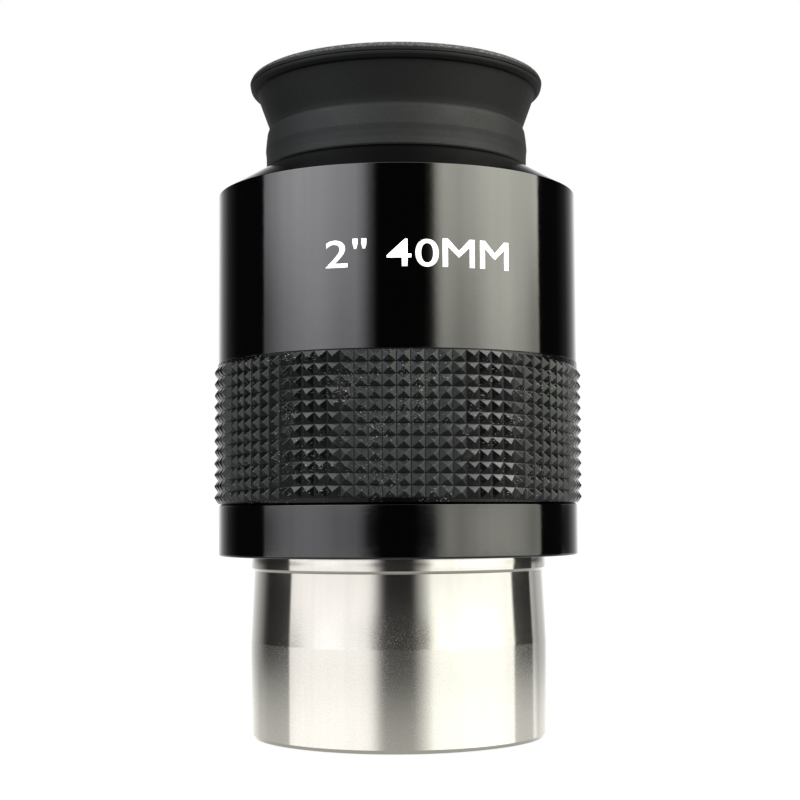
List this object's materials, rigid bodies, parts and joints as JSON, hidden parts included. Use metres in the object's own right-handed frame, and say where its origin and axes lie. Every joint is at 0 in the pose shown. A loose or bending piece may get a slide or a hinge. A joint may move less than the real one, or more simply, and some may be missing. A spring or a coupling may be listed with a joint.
{
  "type": "telescope eyepiece",
  "caption": "Wide-angle telescope eyepiece for a 2 inch focuser, with a gloss black housing, moulded rubber grip ring, steel nosepiece barrel and fold-down rubber eyecup.",
  "frame": {"origin": "centre of the barrel's lower end, on the optical axis", "axes": "+Z along the optical axis, from the telescope towards the eye; X and Y are alike, as the part is round"},
  "size_m": [0.0636, 0.0636, 0.114],
  "materials": {
    "barrel_steel": "polished seat, satin turned lower zone",
    "black_gloss": "gloss black anodised",
    "screw_steel": "black oxide",
    "grip_rubber": "moulded points, matt",
    "lens_glass": "multi-coated",
    "matt_black": "matt black anodised",
    "cup_rubber": "soft matt moulded"
  },
  "bodies": {
    "housing": {"barrel": "barrel_steel", "field_stop_ring": "matt_black", "lower_housing": "black_gloss", "upper_housing": "black_gloss", "lock_screws": "screw_steel", "grip_sleeve": "grip_rubber", "eye_lens_flint": "lens_glass", "eye_lens_crown": "lens_glass", "center_lens": "lens_glass", "field_lens_crown": "lens_glass", "field_lens_flint": "lens_glass", "lens_cell": "matt_black", "spacer_eye_side": "matt_black", "spacer_field_side": "matt_black", "eye_retaining_ring": "matt_black", "field_retaining_ring": "matt_black", "cell_lock_ring": "matt_black", "eyecup_cuff": "cup_rubber"},
    "eyecup_lip": {"eyecup_wall": "cup_rubber", "eyecup_rim": "cup_rubber"}
  },
  "joints": [
    {"name": "eyecup_fold", "type": "slide", "parent": "housing", "child": "eyecup_lip", "axis": [0, 0, 1], "range_m": [-0.0135, 0], "deforming": ["eyecup_wall"]}
  ]
}
